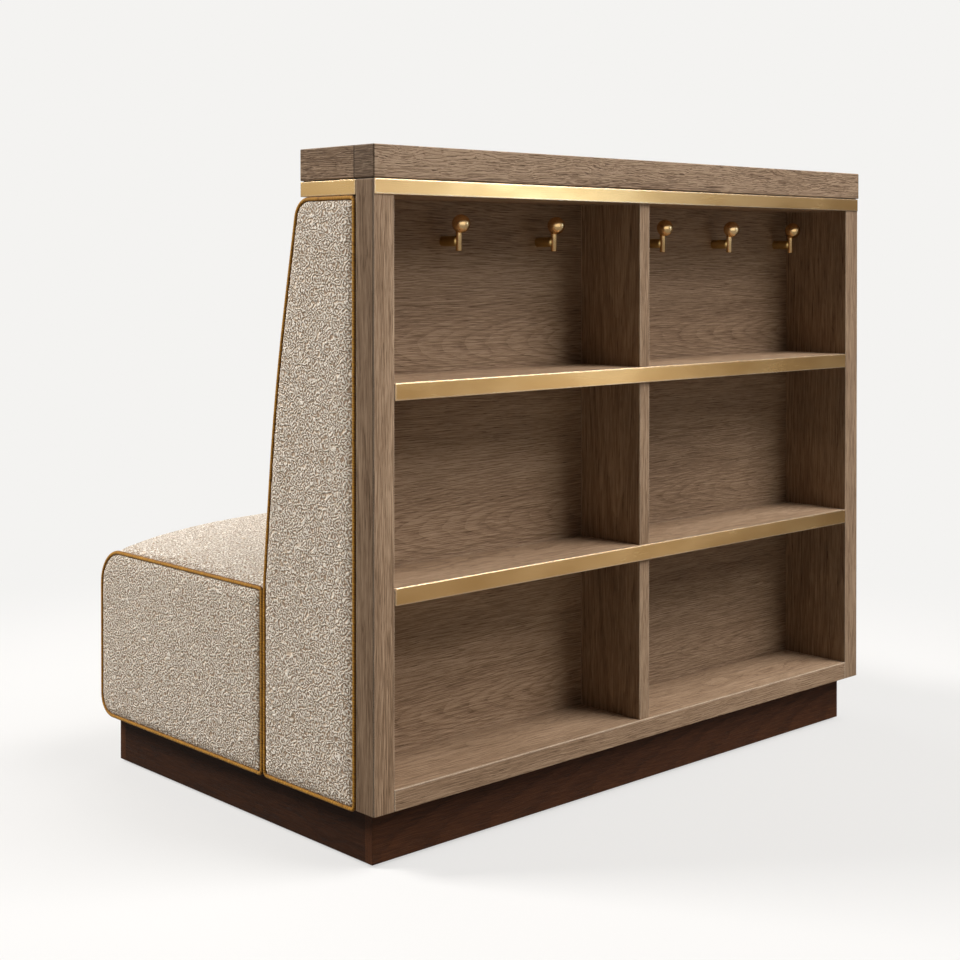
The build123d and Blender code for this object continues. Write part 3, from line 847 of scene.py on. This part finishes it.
def add_curls(piece):
    """Small lumps along the normals, so that the pile shows on outlines."""
    mesh = piece.data
    points = read_points(mesh)
    normals = read_points(mesh, "normal")
    lift = np.array([noise.noise(Vector(point) / curl_size) for point in points])
    write_points(mesh, points + normals * (lift * curl_height)[:, None])


def smooth_mask(values, low, high):
    """0 up to low, 1 from high on."""
    share = np.clip((values - low) / (high - low), 0.0, 1.0)
    return share * share * (3.0 - 2.0 * share)


def pad_held(pad, side):
    """An end pad is held on its inner face and round its edge, where the piping is sewn on."""
    inner = side * (end_line + 0.002)

    def held(points, normals):
        depth = (points[:, 0] - inner) * side
        under = 1.0 - smooth_mask(depth, 0.0, 0.004)
        sewn = 1.0 - smooth_mask(rim_gaps(pad, points)[2], 0.003, 0.012)
        return np.maximum(under, sewn)
    return held


def seat_held(points, normals):
    """The seat cover is held at its ends, underneath and at its rear, where it meets the back."""
    low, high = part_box("seat_cushion")
    ends = 1.0 - smooth_mask(high.x - np.abs(points[:, 0]), 0.004, held_band)
    under = 1.0 - smooth_mask(points[:, 2] - low.z, 0.004, held_band)
    rear = 1.0 - smooth_mask(high.y - points[:, 1], 0.004, held_band)
    facing = np.maximum(normals[:, 2], -normals[:, 1])
    inside = 1.0 - smooth_mask(facing, 0.1, 0.5)
    return np.maximum.reduce([ends, under, rear, inside])


def back_held(points, normals):
    """The back cover is held at its ends, top, foot and on its hidden rear side."""
    low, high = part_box("back_cushion")
    ends = 1.0 - smooth_mask(high.x - np.abs(points[:, 0]), 0.004, held_band)
    top = 1.0 - smooth_mask(high.z - points[:, 2], 0.002, 0.02)
    foot = 1.0 - smooth_mask(points[:, 2] - low.z, 0.004, held_band)
    inside = 1.0 - smooth_mask(-normals[:, 1], 0.1, 0.5)
    return np.maximum.reduce([ends, top, foot, inside])


def outline(node):
    """Closed outline of an end pad in its own plane, from the points of its inner face."""
    points = read_points(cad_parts[node].data)
    flat = points[np.abs(np.abs(points[:, 0]) - end_line) < 0.0002][:, 1:]
    flat = np.unique(np.round(flat, 6), axis=0)
    middle = (flat.min(axis=0) + flat.max(axis=0)) / 2
    order = np.argsort(np.arctan2(flat[:, 1] - middle[1], flat[:, 0] - middle[0]))
    return flat[order]


def resample(loop, step):
    """Even points along a closed loop."""
    closed = np.vstack([loop, loop[:1]])
    lengths = np.linalg.norm(np.diff(closed, axis=0), axis=1)
    along = np.concatenate([[0.0], np.cumsum(lengths)])
    count = int(round(along[-1] / step))
    places = np.arange(count) * along[-1] / count
    return np.column_stack([np.interp(places, along, closed[:, axis]) for axis in range(closed.shape[1])])


def outward_from(loop):
    """Unit directions away from a closed loop of even points."""
    ahead = np.roll(loop, -1, axis=0) - np.roll(loop, 1, axis=0)
    ahead = ahead / np.linalg.norm(ahead, axis=1, keepdims=True)
    return np.column_stack([ahead[:, 1], -ahead[:, 0]])


def soften(loop, rounds):
    for _ in range(rounds):
        loop = (np.roll(loop, 1, axis=0) + 2.0 * loop + np.roll(loop, -1, axis=0)) / 4.0
    return loop


def rim_gaps(pad, points):
    """A pad's outline as even points, and for each given point the nearest of them and how far it is."""
    loop = resample(outline(pad), rim_step)
    tree = kdtree.KDTree(len(loop))
    for index, point in enumerate(loop):
        tree.insert((point[0], point[1], 0.0), index)
    tree.balance()
    found = [tree.find((point[1], point[2], 0.0)) for point in points]
    return loop, np.array([index for _, index, _ in found]), np.array([gap for _, _, gap in found])


def spread_rim(piece, pad):
    """Moves the rim of a remeshed pad out to its own outline, so that it meets the piping."""
    points = read_points(piece.data)
    loop, nearest, gap = rim_gaps(pad, points)
    share = rim_spread * (1.0 - smooth_mask(gap, 0.001, 0.010))
    points[:, 1:] += outward_from(loop)[nearest] * share[:, None]
    write_points(piece.data, points)


def crown_rim(piece, pad, side):
    """Raises the face of a pad in a round shoulder that starts from its piping."""
    points = read_points(piece.data)
    gap = rim_gaps(pad, points)[2]
    share = np.minimum(gap / crown_width, 1.0)
    shoulder = piping_line + crown_rise * np.sqrt(1.0 - (1.0 - share) ** 2)
    level = points[:, 0] * side
    free = smooth_mask(level, piping_line - 0.004, piping_line - 0.0005)
    points[:, 0] = side * (level + free * np.maximum(shoulder - level, 0.0))
    write_points(piece.data, points)


def make_padding(node, name, material, voxel, shrink, most, held, pad_side=0):
    """Remeshed, swollen and subdivided copy of a soft solid; pad_side is the end that an end pad is on."""
    piece = add_piece(name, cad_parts[node].data.copy(), material, "boucle", node)
    remesh(piece, voxel)
    if pad_side:
        spread_rim(piece, node)
    mesh = piece.data
    points = read_points(mesh)
    normals = read_points(mesh, "normal")
    pinned = held(points, normals)
    write_points(mesh, points - normals * (shrink * (1.0 - pinned))[:, None])
    swell(piece, pinned, most)
    if pad_side:
        crown_rim(piece, node, pad_side)
    subdivide(piece)
    add_curls(piece)


def piping_path(pad):
    """Even points along the middle of the piping round a pad."""
    loop = resample(outline(pad), piping_step)
    outward = outward_from(soften(loop, 4))
    return soften(resample(loop + outward * (piping_radius + piping_gap), piping_step), 6)


def piping_surface(loop, side):
    """Points of a ribbed tube round the path, and for each a level of painted shade: low in the hollows
    between the ribs and on the flanks.

    The tube's section swells with each turn of the cover, and the ribs slant and wander a little.
    """
    outward = outward_from(loop)
    count = len(loop)
    ribs = round(count * piping_step / rib_pitch)
    wobble = np.random.default_rng(count).normal(0.0, 1.0, count)
    phase = np.arange(count) / count * ribs * 2.0 * math.pi + rib_wobble * soften(wobble, 12)
    middle = np.full(count, piping_line * side)
    rings = []
    painted_shade_levels = []
    for turn in range(piping_sides):
        angle = 2.0 * math.pi * turn / piping_sides
        rib = 0.5 + 0.5 * np.cos(phase + angle)
        rib = 1.0 - (1.0 - rib) ** 2
        radius = piping_radius - rib_depth * (1.0 - rib)
        across = middle + side * radius * math.cos(angle)
        rings.append(np.column_stack([across, loop + outward * (radius * math.sin(angle))[:, None]]))
        # Painted shade level: darker in the rib hollows and on the flanks.
        painted_shade_levels.append((0.5 + 0.5 * rib) * (1.0 - flank_painted_shade * abs(math.sin(angle)) ** 3))
    return np.stack(rings, axis=1).reshape(-1, 3), np.stack(painted_shade_levels, axis=1).ravel()


def piping_faces(count, side):
    faces = []
    for row in range(count):
        following = (row + 1) % count
        for turn in range(piping_sides):
            beside = (turn + 1) % piping_sides
            quad = (row * piping_sides + turn, row * piping_sides + beside,
                    following * piping_sides + beside, following * piping_sides + turn)
            faces.append(quad if side < 0 else quad[::-1])
    return faces


def make_piping(node, pad, side, material):
    """Ribbed cord round an end pad."""
    loop = piping_path(pad)
    points, painted_shade_levels = piping_surface(loop, side)
    mesh = bpy.data.meshes.new(node + "_cord")
    mesh.from_pydata(points.tolist(), [], piping_faces(len(loop), side))
    # The rib attribute carries the painted shade levels of the cord.
    mesh.attributes.new("rib", "FLOAT", "POINT").data.foreach_set("value", painted_shade_levels)
    mesh.shade_smooth()
    add_piece(node + "_cord", mesh, material, "piping_fabric", node)


def make_packing():
    """The spacer under the cap, made black and brought out to a hair behind the brass, so that a dark sheet
    stands for the shadow in the gap under the cap; with rounded corners.
    """
    low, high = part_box("cap_spacer")
    corners = ((high.x, high.y), (low.x, high.y), (low.x, low.y), (high.x, low.y))
    rim = []
    for index, (x, y) in enumerate(corners):
        x += math.copysign(shadow_packing_reach - packing_corner, x)
        y += (shadow_packing_reach - packing_corner) * (1.0 if index < 2 else -1.0)
        for step in range(5):
            angle = math.radians(90.0 * index + 22.5 * step)
            rim.append((x + packing_corner * math.cos(angle), y + packing_corner * math.sin(angle)))
    count = len(rim)
    verts = [(x, y, z) for z in (low.z, high.z) for x, y in rim]
    faces = [tuple(range(count))[::-1], tuple(range(count, 2 * count))]
    for index in range(count):
        beside = (index + 1) % count
        faces.append((index, beside, count + beside, count + index))
    mesh = bpy.data.meshes.new("cap_packing")
    mesh.from_pydata(verts, [], faces)
    add_piece("cap_packing", mesh, plain("packing_gap_shadow", gap_shadow_colour, 0.8), "black_wood", "cap_spacer")


def turned_point(place, axis, radius, height, angle):
    """Point of a turned body whose foot is at place, and whose axis is Y or Z."""
    x, y, z = place
    first = radius * math.cos(angle)
    second = radius * math.sin(angle)
    return (x + first, y + second, z + height) if axis == "Z" else (x + second, y + height, z + first)


def add_turned(name, bodies, material, slot, node):
    """One piece of turned bodies: each has a profile of radius and height, its foot's place and its axis."""
    verts = []
    faces = []
    for profile, place, axis in bodies:
        rows = []
        for radius, height in profile:
            rows.append(range(len(verts), len(verts) + turned_steps))
            for step in range(turned_steps):
                angle = 2.0 * math.pi * step / turned_steps
                verts.append(turned_point(place, axis, radius, height, angle))
        for lower, upper in zip(rows, rows[1:]):
            for step in range(turned_steps):
                beside = (step + 1) % turned_steps
                faces.append((lower[step], lower[beside], upper[beside], upper[step]))
        faces.append(tuple(rows[0])[::-1])
        faces.append(tuple(rows[-1]))
    mesh = bpy.data.meshes.new(name)
    mesh.from_pydata(verts, [], faces)
    mesh.shade_smooth()
    mesh.set_sharp_from_angle(angle=sharp_angle)
    add_piece(name, mesh, material, slot, node)


def make_feet():
    """Four turned feet under the plinth's corners."""
    low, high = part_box("plinth_glides")
    reach = foot_node_radius
    profile = (*foot_profile, (foot_profile[-1][0], high.z))
    places = [(x, y, 0.0) for x in (low.x + reach, high.x - reach) for y in (low.y + reach, high.y - reach)]
    black = plain("foot_black", foot_colour, 0.6)
    add_turned("plinth_feet", [(profile, place, "Z") for place in places], black, "glide_plastic",
               "plinth_glides")


def make_hook(number, rod_brass, post_brass):
    """Coat hook: a short rod with a ball on top, carried by a post with a foot ring."""
    pin_node = "hook_pin_%d" % number
    post_node = "hook_post_%d" % number
    low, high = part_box(pin_node)
    x = (low.x + high.x) / 2
    ball_y = (low.y + high.y) / 2
    ball_z = high.z - ball_node_radius
    rod_y = ball_y - ball_forward
    turns = [math.radians(6.0 + 8.0 * row) for row in range(ball_rows)]
    ball = [(ball_radius * math.sin(turn), -ball_radius * math.cos(turn)) for turn in turns]
    rod = ((rod_radius - hook_edge, 0.0), (rod_radius, hook_edge), (rod_radius, ball_z - low.z))
    add_turned("hook_knob_%d" % number, [(rod, (x, rod_y, low.z), "Z"), (ball, (x, ball_y, ball_z), "Z")],
               rod_brass, "aged_brass", pin_node)
    foot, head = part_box(post_node)
    length = rod_y - rod_sunk - foot.y
    post = [(post_foot_radius, 0.0), (post_foot_radius, post_foot_height - hook_edge),
            (post_foot_radius - hook_edge / 2, post_foot_height), (post_radius, post_foot_height)]
    post += [(post_radius - inward, length - back) for inward, back in post_head]
    add_turned("hook_arm_%d" % number, [(post, (x, foot.y, (foot.z + head.z) / 2), "Y")], post_brass,
               "aged_brass", post_node)


def make_hooks():
    # Painted light and shade: the rod's brass is painted lighter and the post's darker.
    rod_brass = brass("brass_hook_rod_lit", "Z", rod_lit_colour, 0.25, 0.2, 0.05, 0.0004)
    post_brass = brass("brass_hook_post_shaded", "Y", post_shaded_colour, 0.32, 0.3, 0.12, 0.0005)
    for number in range(1, 6):
        make_hook(number, rod_brass, post_brass)


def make_ends():
    """End pads with their piping, on both ends of the bench."""
    cloth = boucle("boucle_ends", (0.0, 0.8, 0.0), (0.0, 0.0, 1.0))
    cord = piping_cloth("piping_ochre")
    for side, end in ((1, "left"), (-1, "right")):
        for part in ("back", "seat"):
            pad = "%s_end_pad_%s" % (part, end)
            make_padding(pad, "%s_end_panel_%s" % (part, end), cloth, pad_voxel, pad_shrink, pad_swell,
                         pad_held(pad, side), side)
            make_piping("%s_piping_%s" % (part, end), pad, side, cord)


def make_cushions():
    """Covers of the seat and the back."""
    seat_cloth = boucle("boucle_seat", (1.0, 0.0, 0.0), (0.0, 1.0, -1.0))
    back_cloth = boucle("boucle_back", (1.0, 0.0, 0.0), (0.0, 0.0, 1.0))
    make_padding("seat_cushion", "seat_cover", seat_cloth, cushion_voxel, seat_shrink, seat_swell, seat_held)
    make_padding("back_cushion", "back_cover", back_cloth, cushion_voxel, back_shrink, back_swell, back_held)


bpy.context.scene.view_settings.view_transform = "Standard"
make_camera()
make_world()
make_floor()
make_lamps()
paint_uprights()
paint_boards()
paint_metal()
paint_carcass()
make_packing()
make_feet()
make_hooks()
make_ends()
make_cushions()
